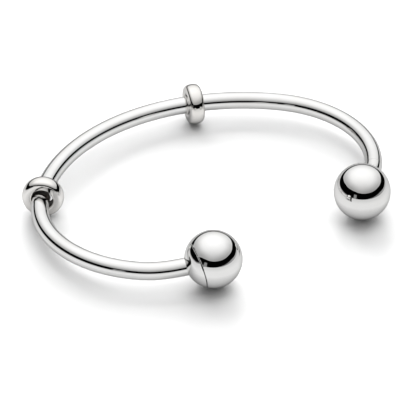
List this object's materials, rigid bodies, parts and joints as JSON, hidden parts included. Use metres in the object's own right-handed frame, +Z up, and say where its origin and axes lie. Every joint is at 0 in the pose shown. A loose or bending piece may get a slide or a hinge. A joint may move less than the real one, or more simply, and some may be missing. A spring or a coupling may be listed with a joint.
{
  "type": "charm bangle",
  "caption": "Open round-wire charm bangle in polished silver, with screw-on ball ends and sliding stopper rings that have a dark grip lining.",
  "frame": {"origin": "middle of the bangle's box in plan, at the level of the table that it lies on", "axes": "+X along the long way of the oval, from the left ball towards the right ball; the opening faces -Y; +Z up from the table"},
  "size_m": [0.0648, 0.051, 0.0096],
  "materials": {
    "silver": "polished sterling silver",
    "grip": "matt dark brown lining"
  },
  "bodies": {
    "bangle": {"bangle_wire": "silver"},
    "cap_left": {"ball_cap_left": "silver"},
    "cap_right": {"ball_cap_right": "silver"},
    "stopper_left": {"stopper_ring_left": "silver", "stopper_grip_left": "grip"},
    "stopper_back": {"stopper_ring_back": "silver", "stopper_grip_back": "grip"}
  },
  "joints": [
    {"name": "cap_left_off", "type": "slide", "parent": "bangle", "child": "cap_left", "axis": [0.9221, -0.3175, 0.2212], "range_m": [0, 0.0045]},
    {"name": "cap_right_off", "type": "slide", "parent": "bangle", "child": "cap_right", "axis": [-0.8728, -0.4351, 0.2212], "range_m": [0, 0.0045]},
    {"name": "stopper_left_slide", "type": "hinge", "parent": "bangle", "child": "stopper_left", "pos_m": [0, -0.01052, 0.00343], "axis": [0, 0, 1], "range_deg": [-38.5, 1.5]},
    {"name": "stopper_back_slide", "type": "hinge", "parent": "bangle", "child": "stopper_back", "pos_m": [0, -0.01052, 0.00343], "axis": [0, 0, 1], "range_deg": [-23, 24.5]}
  ]
}
